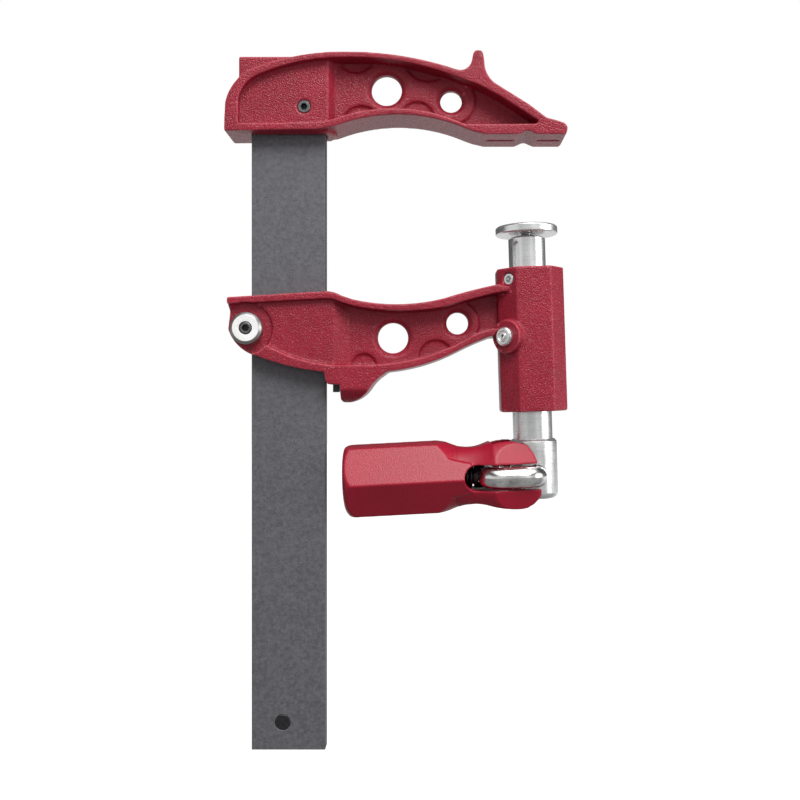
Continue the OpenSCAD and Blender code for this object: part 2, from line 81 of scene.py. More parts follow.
def spindle_place():
    """The matrix that takes the spindle's own frame, with the handle's pivot at zero, to the row frame."""
    up = Vector(JOINTS["spindle_turn"]["axis"]).normalized()
    right = Vector((0, 1, 0)).cross(up).normalized()
    place = Matrix((right, up.cross(right), up)).transposed().to_4x4()
    place.translation = Vector(JOINTS["spindle_turn"]["pos_m"])
    return place


def side_place(node):
    """A frame whose Z runs out of the housing through the middle of a small node on its slanted side."""
    low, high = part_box(node)
    inward = Vector(JOINTS["nipple_ball_press"]["axis"]).normalized()
    turn = inward.to_track_quat("-Z", "Y").to_matrix().to_4x4()
    turn.translation = (low + high) / 2
    return turn


def cross_place(node):
    """A frame whose Z runs along Y through the middle of a node."""
    low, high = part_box(node)
    turn = Matrix.Rotation(math.radians(90), 4, "X")
    turn.translation = (low + high) / 2
    return turn


SPINDLE = spindle_place()


class ClampSizes(bpy.types.PropertyGroup):
    """Sizes of the finish on the pieces."""

    cast_voxel: bpy.props.FloatProperty(
        name="Casting grid", description="Grid on which the castings are rounded",
        default=0.45 * MM, min=0.3 * MM, max=1 * MM, unit="LENGTH", precision=5)
    cast_rounds: bpy.props.IntProperty(
        name="Casting rounding", description="Smoothing passes over the castings", default=13, min=1, max=40)
    grip_voxel: bpy.props.FloatProperty(
        name="Handle grid", description="Grid on which the handle is rounded",
        default=0.4 * MM, min=0.3 * MM, max=1 * MM, unit="LENGTH", precision=5)
    grip_rounds: bpy.props.IntProperty(
        name="Handle rounding", description="Smoothing passes over the handle", default=9, min=1, max=40)
    steel_edge: bpy.props.FloatProperty(
        name="Steel edge", description="Width of the eased edges on turned steel",
        default=0.22 * MM, min=0.05 * MM, max=0.5 * MM, unit="LENGTH", precision=5)
    bar_edge: bpy.props.FloatProperty(
        name="Bar edge", description="Width of the eased edges on the bar",
        default=0.45 * MM, min=0.1 * MM, max=1 * MM, unit="LENGTH", precision=5)
    link_wave: bpy.props.FloatProperty(
        name="Link waviness", description="How far the forged link strays from true round steel",
        default=0.25 * MM, min=0, max=0.5 * MM, unit="LENGTH", precision=5)


class ClampColours(bpy.types.PropertyGroup):
    """Base colours of the finishes, in scene linear values."""

    paint: bpy.props.FloatVectorProperty(
        name="Cast paint", description="Crimson paint on the castings",
        default=(0.27, 0.009, 0.026), size=3, min=0, max=1, subtype="COLOR")
    grip: bpy.props.FloatVectorProperty(
        name="Handle", description="Red of the handle",
        default=(0.33, 0.005, 0.024), size=3, min=0, max=1, subtype="COLOR")
    bar: bpy.props.FloatVectorProperty(
        name="Bar steel", description="Dark drawn steel of the bar",
        default=(0.140, 0.138, 0.150), size=3, min=0, max=1, subtype="COLOR")
    zinc: bpy.props.FloatVectorProperty(
        name="Zinc plate", description="Bright plate of the plunger, pad, rod and ferrule",
        default=(0.80, 0.81, 0.81), size=3, min=0, max=1, subtype="COLOR")
    disc: bpy.props.FloatVectorProperty(
        name="Bearing discs", description="Pale turned steel of the bearing discs",
        default=(0.93, 0.93, 0.92), size=3, min=0, max=1, subtype="COLOR")
    link: bpy.props.FloatVectorProperty(
        name="Link steel", description="Polished steel of the link",
        default=(0.80, 0.80, 0.79), size=3, min=0, max=1, subtype="COLOR")
    black: bpy.props.FloatVectorProperty(
        name="Black steel", description="Blackened steel of screws, springs and the brake shoe",
        default=(0.05, 0.05, 0.053), size=3, min=0, max=1, subtype="COLOR")
    oiled: bpy.props.FloatVectorProperty(
        name="Oiled steel", description="Grey oiled steel of the socket screws",
        default=(0.15, 0.15, 0.155), size=3, min=0, max=1, subtype="COLOR")
    bronze: bpy.props.FloatVectorProperty(
        name="Bronze", description="Sintered bronze of the thrust washer",
        default=(0.42, 0.25, 0.10), size=3, min=0, max=1, subtype="COLOR")


class ClampStage(bpy.types.PropertyGroup):
    """The camera, the lights and the floor."""

    eye: bpy.props.FloatVectorProperty(
        name="Camera place", description="Where the level camera stands, straight in front of the clamp",
        default=(0.06695, -0.470, 0.1675), size=3, subtype="XYZ", unit="LENGTH", precision=5)
    lens: bpy.props.FloatProperty(
        name="Lens", description="Focal length on a 36 mm sensor", default=44.18, min=20, max=100)
    shift: bpy.props.FloatVectorProperty(
        name="Lens shift", description="Sideways and upward shift that centres the clamp",
        default=(-0.0369, -0.00375), size=2, min=-0.2, max=0.2, precision=4)
    floor_drop: bpy.props.FloatProperty(
        name="Floor drop", description="How far the floor lies below the bar's foot",
        default=0.145, min=0, max=0.5, unit="LENGTH")
    key_power: bpy.props.FloatProperty(
        name="Key light", description="Power of the soft light above and in front",
        default=92, min=0, max=300)
    fill_power: bpy.props.FloatProperty(
        name="Fill light", description="Power of the soft light on the right", default=2.6, min=0, max=100)


# ---------------------------------------------------------------- node helpers

def fill(tree, socket, value):
    """Links a value that is itself a socket, and sets any other."""
    if isinstance(value, bpy.types.NodeSocket):
        tree.links.new(value, socket)
    else:
        socket.default_value = value


def add(tree, kind, inputs=None, **settings):
    """Adds a node, applies its settings, then fills its inputs by name or number."""
    made = tree.nodes.new(kind)
    for key, value in settings.items():
        setattr(made, key, value)
    for key, value in (inputs or {}).items():
        fill(tree, made.inputs[key], value)
    return made


def maths(tree, operation, first, second=0.0, clamp=False):
    """One Math node's result."""
    return add(tree, "ShaderNodeMath", {0: first, 1: second}, operation=operation, use_clamp=clamp).outputs[0]


def times(tree, first, second, clamp=False):
    """Two values multiplied."""
    return maths(tree, "MULTIPLY", first, second, clamp)


def spread(tree, value, low, high, to_low=0.0, to_high=1.0):
    """A value's range, mapped to another."""
    return add(tree, "ShaderNodeMapRange", {"Value": value, "From Min": low, "From Max": high,
                                            "To Min": to_low, "To Max": to_high}).outputs["Result"]


def noise(tree, spot, scale, detail, roughness=0.5):
    """One Noise Texture's value."""
    return add(tree, "ShaderNodeTexNoise", {"Vector": spot, "Scale": scale, "Detail": detail,
                                            "Roughness": roughness}).outputs["Fac"]


def blend_colour(tree, factor, first, second):
    """A colour between two."""
    mix = add(tree, "ShaderNodeMix", data_type="RGBA")
    # A Mix node's sockets share names, so its factor and its two colours are found by number
    for number, value in ((0, factor), (6, first), (7, second)):
        fill(tree, mix.inputs[number], value)
    return mix.outputs[2]


def shader_group(name, inputs, outputs, build):
    """A shader node group, built once. build(tree, group_input, group_output) fills it."""
    if name in bpy.data.node_groups:
        return bpy.data.node_groups[name]
    tree = bpy.data.node_groups.new(name, "ShaderNodeTree")
    for label, kind, default in inputs:
        socket = tree.interface.new_socket(label, in_out="INPUT", socket_type=kind)
        if default is not None:
            socket.default_value = default
    for label, kind in outputs:
        tree.interface.new_socket(label, in_out="OUTPUT", socket_type=kind)
    build(tree, tree.nodes.new("NodeGroupInput"), tree.nodes.new("NodeGroupOutput"))
    return tree


def use_group(tree, group, inputs):
    """Places a shader group with its own values."""
    made = tree.nodes.new("ShaderNodeGroup")
    made.node_tree = group
    for key, value in inputs.items():
        fill(tree, made.inputs[key], value)
    return made


# ---------------------------------------------------------------- shared effects

def grain_group():
    """Fine round-topped grain, as sprayed or cast surfaces have."""
    def build(tree, given, result):
        spot = given.outputs["Vector"]
        scale = given.outputs["Scale"]
        fine = noise(tree, spot, scale, 2.0, 0.55)
        cells = add(tree, "ShaderNodeTexVoronoi", {"Vector": spot, "Scale": times(tree, scale, 1.35)},
                    feature="SMOOTH_F1")
        domes = spread(tree, cells.outputs["Distance"], 0.0, 0.8, 1.0, 0.0)
        height = maths(tree, "ADD", times(tree, fine, 0.6), times(tree, domes, 0.4))
        tree.links.new(height, result.inputs["Height"])
        tree.links.new(spread(tree, height, 0.42, 0.75), result.inputs["Peaks"])
    return shader_group("surface_grain",
                        [("Vector", "NodeSocketVector", None), ("Scale", "NodeSocketFloat", 1500.0)],
                        [("Height", "NodeSocketFloat"), ("Peaks", "NodeSocketFloat")], build)


def drift_group():
    """Slow change of a colour over the surface, lighter and darker by an amount."""
    def build(tree, given, result):
        slow = noise(tree, given.outputs["Vector"], given.outputs["Scale"], 4.0, 0.6)
        low = maths(tree, "SUBTRACT", 1.0, given.outputs["Amount"])
        high = maths(tree, "ADD", 1.0, given.outputs["Amount"])
        value = spread(tree, slow, *NOISE_RANGE, low, high)
        shifted = add(tree, "ShaderNodeHueSaturation", {"Color": given.outputs["Color"], "Value": value})
        tree.links.new(shifted.outputs["Color"], result.inputs["Color"])
        tree.links.new(slow, result.inputs["Fac"])
    return shader_group("colour_drift",
                        [("Vector", "NodeSocketVector", None), ("Color", "NodeSocketColor", (1, 1, 1, 1)),
                         ("Scale", "NodeSocketFloat", 40.0), ("Amount", "NodeSocketFloat", 0.1)],
                        [("Color", "NodeSocketColor"), ("Fac", "NodeSocketFloat")], build)


def wear_and_highlight_group():
    """A mask of convex edges, broken up by noise, for abraded edges and for painted edge highlights. Edge is
    the surface's pointiness.
    """
    def build(tree, given, result):
        patch = noise(tree, given.outputs["Vector"], 260.0, 5.0, 0.7)
        shift = spread(tree, patch, *NOISE_RANGE, -0.5, 0.5)
        edge = spread(tree, given.outputs["Edge"], given.outputs["Start"], given.outputs["End"])
        broken = maths(tree, "ADD", edge, times(tree, shift, edge), clamp=True)
        tree.links.new(times(tree, broken, given.outputs["Amount"], clamp=True), result.inputs["Mask"])
    return shader_group("edge_wear_and_highlight",
                        [("Vector", "NodeSocketVector", None), ("Edge", "NodeSocketFloat", 0.5),
                         ("Start", "NodeSocketFloat", 0.52), ("End", "NodeSocketFloat", 0.62),
                         ("Amount", "NodeSocketFloat", 0.5)],
                        [("Mask", "NodeSocketFloat")], build)


def scratch_group():
    """Noise that turns to tool lines, some of them deeper, when its vector comes in stretched."""
    def build(tree, given, result):
        fine = noise(tree, given.outputs["Vector"], 1.0, 3.0, 0.65)
        deep = noise(tree, given.outputs["Vector"], 0.35, 1.0)
        cut = spread(tree, deep, 0.58, 0.70)
        tree.links.new(maths(tree, "SUBTRACT", fine, times(tree, cut, 0.5)), result.inputs["Height"])
        tree.links.new(cut, result.inputs["Cuts"])
    return shader_group("tool_lines", [("Vector", "NodeSocketVector", None)],
                        [("Height", "NodeSocketFloat"), ("Cuts", "NodeSocketFloat")], build)


def turned_group():
    """Stretches a vector so that tool lines run round the Z axis: rings on faces, hoops on barrels."""
    def build(tree, given, result):
        parts = add(tree, "ShaderNodeSeparateXYZ", {"Vector": given.outputs["Vector"]})
        x, y, z = (parts.outputs[axis] for axis in "XYZ")
        radius = maths(tree, "SQRT", maths(tree, "ADD", times(tree, x, x), times(tree, y, y)))
        turn = maths(tree, "ARCTAN2", y, x)
        lines = given.outputs["Lines"]
        stretched = add(tree, "ShaderNodeCombineXYZ",
                        {0: times(tree, radius, lines), 1: times(tree, turn, 0.35), 2: times(tree, z, lines)})
        tree.links.new(stretched.outputs[0], result.inputs["Vector"])
    return shader_group("turned_space",
                        [("Vector", "NodeSocketVector", None), ("Lines", "NodeSocketFloat", 5000.0)],
                        [("Vector", "NodeSocketVector")], build)


# ---------------------------------------------------------------- finishes

def new_material(name):
    """An empty material with its Principled shader and its object coordinates."""
    material = bpy.data.materials.new(name)
    material.use_nodes = True
    tree = material.node_tree
    shader = tree.nodes["Principled BSDF"]
    coordinates = add(tree, "ShaderNodeTexCoord").outputs["Object"]
    return material, tree, shader, coordinates


def opaque(colour):
    """A colour with full alpha."""
    return (*colour, 1.0)


def tinted(colour, gain, lift=0.0):
    """A lighter or darker relative of a colour, with full alpha."""
    return opaque([min(1, channel * gain + lift) for channel in colour])


def drifting(tree, spot, colour, scale, amount):
    """A colour that drifts over the surface."""
    return use_group(tree, drift_group(), {"Vector": spot, "Color": opaque(colour), "Scale": scale,
                                           "Amount": amount})


def grained(tree, spot, scale):
    """Fine grain of a given scale."""
    return use_group(tree, grain_group(), {"Vector": spot, "Scale": scale})


def edge_wear_and_highlight(tree, spot, start, end, amount):
    """The mask of abraded edges and of painted edge highlights, and the surface's pointiness."""
    edge = add(tree, "ShaderNodeNewGeometry").outputs["Pointiness"]
    edge_mask = use_group(tree, wear_and_highlight_group(), {"Vector": spot, "Edge": edge, "Start": start, "End": end,
                                          "Amount": amount})
    return edge_mask.outputs["Mask"], edge


def bump(tree, shader, height, strength, distance, below=None):
    """Feeds a height to the shader's normal."""
    inputs = {"Height": height, "Strength": strength, "Distance": distance}
    if below is not None:
        inputs["Normal"] = below
    made = add(tree, "ShaderNodeBump", inputs)
    tree.links.new(made.outputs["Normal"], shader.inputs["Normal"])
    return made.outputs["Normal"]


def roughen(tree, shader, value, span, at_low, at_high):
    """Lets a value set the roughness, between a figure for each end of the value's span."""
    tree.links.new(spread(tree, value, *span, at_low, at_high), shader.inputs["Roughness"])


def cast_paint(colours):
    """Crimson paint over cast iron: fine grain with painted highlights on its tops, uneven depth of colour,
    painted shade in its hollows and painted highlights on its convex edges.
    """
    material, tree, shader, spot = new_material("cast_paint")
    drift = drifting(tree, spot, colours.paint, scale=55.0, amount=0.16)
    grain = grained(tree, spot, scale=1450.0)
    # Convex edges give the mask of a painted highlight; low pointiness gives the hollows for painted shade
    wear_and_highlight, edge = edge_wear_and_highlight(tree, spot, start=0.508, end=0.57, amount=0.7)
    # Painted shade: hollows, found by low pointiness, are darkened towards a darker copy of the paint
    hollow = times(tree, spread(tree, edge, 0.495, 0.44), 0.6, clamp=True)
    # Painted highlight: the tops of the grain are lightened to a paler pink, standing in for glints
    painted_glint = times(tree, grain.outputs["Peaks"], 0.45)
    glinted_paint = blend_colour(tree, painted_glint, drift.outputs["Color"], tinted(colours.paint, 1.6, 0.02))
    deep = blend_colour(tree, hollow, glinted_paint, tinted(colours.paint, 0.55))
    # Painted highlight: convex edges of the paint are lightened to a pale pink
    lightened_edges = blend_colour(tree, wear_and_highlight, deep, tinted(colours.paint, 2.1, 0.10))
    tree.links.new(lightened_edges, shader.inputs["Base Color"])
    roughen(tree, shader, grain.outputs["Height"], GRAIN_RANGE, 0.34, 0.19)
    shader.inputs["Specular IOR Level"].default_value = 0.36
    under = bump(tree, shader, noise(tree, spot, 240.0, 2.0), 0.25, 0.5 * MM)
    bump(tree, shader, grain.outputs["Height"], 1.0, 0.45 * MM, under)
    return material


def grip_shell(colours):
    """Red satin handle: very fine texture, slightly uneven colour and paler edges."""
    material, tree, shader, spot = new_material("grip_shell")
    drift = drifting(tree, spot, colours.grip, scale=45.0, amount=0.07)
    grain = grained(tree, spot, scale=1700.0)
    wear_and_highlight, _ = edge_wear_and_highlight(tree, spot, start=0.52, end=0.62, amount=0.3)
    skin = blend_colour(tree, wear_and_highlight, drift.outputs["Color"], tinted(colours.grip, 1.3, 0.05))
    tree.links.new(skin, shader.inputs["Base Color"])
    roughen(tree, shader, grain.outputs["Height"], GRAIN_RANGE, 0.42, 0.33)
    shader.inputs["Specular IOR Level"].default_value = 0.4
    bump(tree, shader, grain.outputs["Height"], 0.6, 0.16 * MM)
    return material


def bar_steel(colours):
    """Dark drawn steel: fine lines along the bar, a mottle and dark specks."""
    material, tree, shader, spot = new_material("bar_steel")
    drawn = add(tree, "ShaderNodeMapping", {"Vector": spot, "Scale": (2600.0, 2600.0, 45.0)}).outputs[0]
    lines = use_group(tree, scratch_group(), {"Vector": drawn}).outputs["Height"]
    drift = drifting(tree, spot, colours.bar, scale=620.0, amount=0.26)
    grain = grained(tree, spot, scale=1900.0)
    line = times(tree, spread(tree, lines, *NOISE_RANGE), 0.10)
    lined = blend_colour(tree, line, drift.outputs["Color"], tinted(colours.bar, 1.35))
    speck = times(tree, grain.outputs["Peaks"], 0.3)
    tree.links.new(blend_colour(tree, speck, lined, tinted(colours.bar, 0.72)), shader.inputs["Base Color"])
    shader.inputs["Metallic"].default_value = 0.6
    roughen(tree, shader, drift.outputs["Fac"], NOISE_RANGE, 0.56, 0.70)
    under = bump(tree, shader, lines, 0.08, 0.05 * MM)
    bump(tree, shader, grain.outputs["Height"], 0.8, 0.09 * MM, under)
    return material


def turned_steel(name, colour, place, lines=5200.0, rough=(0.20, 0.31), frosted=False):
    """Bright turned steel, with tool lines round its own axis. Frosted makes its end faces pale."""
    material, tree, shader, spot = new_material(name)
    mapping = add(tree, "ShaderNodeMapping", {"Vector": spot, "Location": place.translation,
                                              "Rotation": place.to_euler()}, vector_type="TEXTURE")
    around = use_group(tree, turned_group(), {"Vector": mapping.outputs[0], "Lines": lines})
    marks = use_group(tree, scratch_group(), {"Vector": around.outputs["Vector"]})
    drift = drifting(tree, spot, colour, scale=160.0, amount=0.08)
    cut = times(tree, marks.outputs["Cuts"], 0.35)
    skin = blend_colour(tree, cut, drift.outputs["Color"], tinted(colour, 0.6))
    if frosted:
        normal = add(tree, "ShaderNodeNewGeometry").outputs["Normal"]
        along = place.to_3x3() @ Vector((0, 0, 1))
        facing = add(tree, "ShaderNodeVectorMath", {0: normal, 1: along}, operation="DOT_PRODUCT")
        ends = spread(tree, maths(tree, "ABSOLUTE", facing.outputs["Value"]), 0.93, 0.99)
        skin = blend_colour(tree, ends, tinted(colour, 0.4), skin)
        tree.links.new(spread(tree, ends, 0.0, 1.0, 0.88, 0.2), shader.inputs["Metallic"])
    else:
        shader.inputs["Metallic"].default_value = 0.88
    tree.links.new(skin, shader.inputs["Base Color"])
    roughen(tree, shader, drift.outputs["Fac"], NOISE_RANGE, *rough)
    bump(tree, shader, marks.outputs["Height"], 0.22, 0.03 * MM)
    return material


def forged_steel(colours):
    """Polished steel of the link: soft hammer marks, dark stains and fine scratches."""
    material, tree, shader, spot = new_material("link_steel")
    drift = drifting(tree, spot, colours.link, scale=170.0, amount=0.3)
    stain = noise(tree, spot, 420.0, 5.0, 0.7)
    stained = times(tree, spread(tree, stain, 0.55, 0.72), 0.8)
    skin = blend_colour(tree, stained, drift.outputs["Color"], tinted(colours.link, 0.35))
    tree.links.new(skin, shader.inputs["Base Color"])
    shader.inputs["Metallic"].default_value = 1.0
    roughen(tree, shader, stain, (0.35, 0.7), 0.13, 0.34)
    under = bump(tree, shader, noise(tree, spot, 330.0, 1.0), 0.25, 0.25 * MM)
    slanted = add(tree, "ShaderNodeMapping", {"Vector": spot, "Rotation": (0.3, 0.5, 0.2),
                                              "Scale": (300.0, 2800.0, 2800.0)}).outputs[0]
    lines = use_group(tree, scratch_group(), {"Vector": slanted})
    bump(tree, shader, lines.outputs["Height"], 0.12, 0.03 * MM, under)
    return material


def dark_steel(name, colour, lightened_edges):
    """Blackened or oiled steel: a dark sheen, abraded bright on its edges, and painted shade that turns its
    sockets near black.
    """
    material, tree, shader, spot = new_material(name)
    drift = drifting(tree, spot, colour, scale=500.0, amount=0.25)
    grain = grained(tree, spot, scale=4200.0)
    wear_and_highlight, edge = edge_wear_and_highlight(tree, spot, start=0.53, end=0.66, amount=lightened_edges)
    bare = (0.3, 0.3, 0.3, 1)
    shadow = (0.004, 0.004, 0.004, 1)
    rubbed_skin = blend_colour(tree, wear_and_highlight, drift.outputs["Color"], bare)
    # Painted shade: hollows such as sockets are darkened to near black
    skin = blend_colour(tree, spread(tree, edge, 0.49, 0.42), rubbed_skin, shadow)
    tree.links.new(skin, shader.inputs["Base Color"])
    shader.inputs["Metallic"].default_value = 0.9
    roughen(tree, shader, grain.outputs["Height"], GRAIN_RANGE, 0.42, 0.30)
    bump(tree, shader, grain.outputs["Height"], 0.2, 0.03 * MM)
    return material


FINISHES = {}


def finish(name):
    """A finish by name. All of them are made on first use."""
    if not FINISHES:
        colours = bpy.context.scene.clamp_colours
        FINISHES.update({
            "paint": cast_paint(colours),
            "grip": grip_shell(colours),
            "bar": bar_steel(colours),
            "zinc": turned_steel("zinc_plate", colours.zinc, SPINDLE),
            "disc": turned_steel("turned_disc", colours.disc, cross_place("bearing_disc_front"),
                                 lines=3600.0, rough=(0.3, 0.42), frosted=True),
            "nipple": turned_steel("turned_nipple", colours.zinc, side_place("grease_nipple"),
                                   lines=5000.0),
            "link": forged_steel(colours),
            "black": dark_steel("black_steel", colours.black, lightened_edges=0.25),
            "oiled": dark_steel("oiled_steel", colours.oiled, lightened_edges=0.6),
            "bronze": turned_steel("bronze", colours.bronze, SPINDLE, lines=4000.0, rough=(0.35, 0.5)),
        })
    return FINISHES[name]


# ---------------------------------------------------------------- mesh helpers

def copy_of(node, name):
    """A merged copy of a CAD node's mesh, as a new piece at the origin."""
    source = frame["nodes"][node].data
    work = bmesh.new()
    work.from_mesh(source)
    bmesh.ops.remove_doubles(work, verts=work.verts, dist=MERGE_DISTANCE)
    mesh = bpy.data.meshes.new(name)
    work.to_mesh(mesh)
    work.free()
    piece = bpy.data.objects.new(name, mesh)
    bpy.context.scene.collection.objects.link(piece)
    return piece


def settle(piece):
    """Turns a piece's modifiers into its mesh."""
    bpy.context.view_layer.update()
    evaluated = piece.evaluated_get(bpy.context.evaluated_depsgraph_get())
    mesh = bpy.data.meshes.new_from_object(evaluated)
    piece.modifiers.clear()
    piece.data = mesh
    mesh.name = piece.name
    return piece


def dress(piece, material, sharp=None):
    """Gives a piece one material and smooth shading. A sharp angle keeps crisp edges and even, flat faces."""
    mesh = piece.data
    mesh.materials.clear()
    mesh.materials.append(material)
    mesh.shade_smooth()
    if sharp is not None:
        mesh.set_sharp_from_angle(angle=math.radians(sharp))
        even = piece.modifiers.new("even", "WEIGHTED_NORMAL")
        even.keep_sharp = True
        settle(piece)
    return piece


def place_piece(piece, body, *nodes):
    """Makes a piece ride on its body in place of its CAD nodes."""
    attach(piece, body)
    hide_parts(*nodes)


def rounded_shell(node, name, voxel, rounds):
    """A cast or moulded shell: the CAD shape on a fine grid, smoothed until its edges are round."""
    piece = copy_of(node, name)
    grid = piece.modifiers.new("grid", "REMESH")
    grid.mode = "VOXEL"
    grid.voxel_size = voxel
    soften = piece.modifiers.new("soften", "SMOOTH")
    soften.factor = 0.5
    soften.iterations = rounds
    settle(piece)
    triangles = 2 * len(piece.data.polygons)
    if triangles > MOST_TRIANGLES:
        thin = piece.modifiers.new("thin", "DECIMATE")
        thin.ratio = MOST_TRIANGLES / triangles
        settle(piece)
    return piece


def eased_copy(node, name, width, segments=2, angle=32):
    """A steel part: the CAD shape with its flat faces joined and its edges eased."""
    piece = copy_of(node, name)
    work = bmesh.new()
    work.from_mesh(piece.data)
    bmesh.ops.dissolve_limit(work, angle_limit=FLAT_ANGLE, verts=work.verts, edges=work.edges)
    work.to_mesh(piece.data)
    work.free()
    ease = piece.modifiers.new("ease", "BEVEL")
    ease.width = width
    ease.segments = segments
    ease.limit_method = "ANGLE"
    ease.angle_limit = math.radians(angle)
    return settle(piece)


# ---------------------------------------------------------------- geometry node trees

def geometry_tree(name, inputs):
    """An empty geometry tree with named inputs and one geometry output."""
    tree = bpy.data.node_groups.new(name, "GeometryNodeTree")
    for label, kind, default in inputs:
        socket = tree.interface.new_socket(label, in_out="INPUT", socket_type=kind)
        if default is not None:
            socket.default_value = default
    tree.interface.new_socket("Geometry", in_out="OUTPUT", socket_type="NodeSocketGeometry")
    return tree, tree.nodes.new("NodeGroupInput").outputs, tree.nodes.new("NodeGroupOutput").inputs


def end_tree(tree, given, result, geometry):
    """Ends a tree: smooth shading, its place, real geometry and its material."""
    smooth = add(tree, "GeometryNodeSetShadeSmooth", {"Geometry": geometry})
    placed = add(tree, "GeometryNodeTransform", {"Geometry": smooth.outputs[0], "Translation": given["Place"],
                                                 "Rotation": given["Turn"]})
    real = add(tree, "GeometryNodeRealizeInstances", {"Geometry": placed.outputs[0]})
    painted = add(tree, "GeometryNodeSetMaterial", {"Geometry": real.outputs[0],
                                                    "Material": given["Material"]})
    tree.links.new(painted.outputs[0], result["Geometry"])
    return tree


PLACE_INPUTS = [("Place", "NodeSocketVector", None), ("Turn", "NodeSocketRotation", None),
                ("Material", "NodeSocketMaterial", None)]


def coil_tree():
    """A coil spring along Z."""
    tree, given, result = geometry_tree("coil_spring", [
        ("Coil Radius", "NodeSocketFloat", 0.003), ("Wire Radius", "NodeSocketFloat", 0.0005),
        ("Length", "NodeSocketFloat", 0.01), ("Turns", "NodeSocketFloat", 6.0)] + PLACE_INPUTS)
    path = add(tree, "GeometryNodeCurveSpiral", {"Resolution": 40, "Rotations": given["Turns"],
                                                 "Start Radius": given["Coil Radius"],
                                                 "End Radius": given["Coil Radius"],
                                                 "Height": given["Length"]})
    wire = add(tree, "GeometryNodeCurvePrimitiveCircle", {"Resolution": 14, "Radius": given["Wire Radius"]})
    swept = add(tree, "GeometryNodeCurveToMesh", {"Curve": path.outputs[0], "Profile Curve": wire.outputs[0],
                                                  "Fill Caps": True})
    return end_tree(tree, given, result, swept.outputs[0])


def link_tree():
    """A closed ring of round steel in its X-Y plane, bent at four corners and a little uneven."""
    tree, given, result = geometry_tree("bent_link", [
        ("Pitch", "NodeSocketFloat", 0.02), ("Width", "NodeSocketFloat", 0.03),
        ("Bend", "NodeSocketFloat", 0.006), ("Rod Radius", "NodeSocketFloat", 0.005),
        ("Waviness", "NodeSocketFloat", 0.0002)] + PLACE_INPUTS)
    path = add(tree, "GeometryNodeCurvePrimitiveQuadrilateral",
               {"Width": given["Pitch"], "Height": given["Width"]}, mode="RECTANGLE")
    bends = add(tree, "GeometryNodeFilletCurve",
                {"Curve": path.outputs[0], "Radius": given["Bend"], "Count": 14, "Limit Radius": True},
                mode="POLY")
    even = add(tree, "GeometryNodeResampleCurve", {"Curve": bends.outputs[0], "Count": 190}, mode="COUNT")
    rod = add(tree, "GeometryNodeCurvePrimitiveCircle", {"Resolution": 56, "Radius": given["Rod Radius"]})
    swept = add(tree, "GeometryNodeCurveToMesh", {"Curve": even.outputs[0], "Profile Curve": rod.outputs[0]})
    uneven = add(tree, "ShaderNodeTexNoise", {"Scale": 95.0, "Detail": 1.0}).outputs["Fac"]
    # Taken from above the noise's middle, so that the rod is thinned more than it is swollen
    thinned = maths(tree, "SUBTRACT", uneven, 0.7)
    level = times(tree, thinned, given["Waviness"])
    normal = add(tree, "GeometryNodeInputNormal")
    push = add(tree, "ShaderNodeVectorMath", {0: normal.outputs[0], "Scale": level}, operation="SCALE")
    wavy = add(tree, "GeometryNodeSetPosition", {"Geometry": swept.outputs[0], "Offset": push.outputs[0]})
    return end_tree(tree, given, result, wavy.outputs[0])


def grow(tree, name, values):
    """Runs a geometry tree with its inputs set by identifier, and keeps the result as a plain mesh."""
    piece = bpy.data.objects.new(name, bpy.data.meshes.new(name))
    bpy.context.scene.collection.objects.link(piece)
    modifier = piece.modifiers.new("grow", "NODES")
    modifier.node_group = tree
    sockets = {item.name: item.identifier for item in tree.interface.items_tree if item.in_out == "INPUT"}
    for label, value in values.items():
        modifier[sockets[label]] = value
    return settle(piece)


def placed(place):
    """The Place and Turn inputs of a tree, from a matrix."""
    return {"Place": tuple(place.translation), "Turn": tuple(place.to_euler())}


# ---------------------------------------------------------------- pieces

class CLAMP_OT_castings(bpy.types.Operator):
    """Rounds and paints the fixed jaw and the sliding arm"""

    bl_idname = "clamp.castings"
    bl_label = "Castings"

    def execute(self, context):
        sizes = context.scene.clamp_sizes
        for node, body in (("fixed_jaw", "frame"), ("sliding_arm", "arm")):
            shell = rounded_shell(node, node + "_cast", sizes.cast_voxel, sizes.cast_rounds)
            dress(shell, finish("paint"))
            place_piece(shell, body, node)
        return {"FINISHED"}


class CLAMP_OT_bar(bpy.types.Operator):
    """Makes the drawn bar and its stop pin"""

    bl_idname = "clamp.bar"
    bl_label = "Bar"

    def execute(self, context):
        edge = context.scene.clamp_sizes.bar_edge
        bar = eased_copy("bar", "drawn_bar", edge, segments=3, angle=60)
        dress(bar, finish("bar"), BAR_CREASE)
        place_piece(bar, "frame", "bar")
        pin = eased_copy("bar_stop_pin", "stop_pin", 0.3 * MM, segments=3)
        dress(pin, finish("black"), BAR_CREASE)
        place_piece(pin, "frame", "bar_stop_pin")
        return {"FINISHED"}


# CAD node, piece, body and finish
STEEL_PIECES = [
    ("jaw_screw", "jaw_socket_screw", "frame", "oiled"),
    ("bearing_disc_front", "front_disc", "arm", "disc"),
    ("bearing_disc_rear", "rear_disc", "arm", "disc"),
    ("bearing_screw_front", "front_disc_screw", "arm", "oiled"),
    ("bearing_screw_rear", "rear_disc_screw", "arm", "oiled"),
    ("bearing_pin", "hardened_pin", "arm", "disc"),
    ("brake_shoe", "brake_lever", "brake", "black"),
    ("brake_pivot_pin", "brake_pin", "arm", "black"),
    ("key_screw", "key_socket_screw", "arm", "nipple"),
    ("grease_nipple", "grease_fitting", "arm", "nipple"),
    ("plunger", "keyed_plunger", "plunger", "zinc"),
    ("swivel_pad", "pad_disc", "pad", "zinc"),
    ("spindle", "spindle_rod", "spindle", "zinc"),
    ("spindle_ferrule", "rod_ferrule", "spindle", "zinc"),
]

# CAD nodes that are shown as they are, with only a finish
KEPT_NODES = [("pad_seat_ring", "zinc"), ("thrust_washer", "bronze"), ("spindle_circlip", "black"),
              ("nipple_ball", "nipple")]


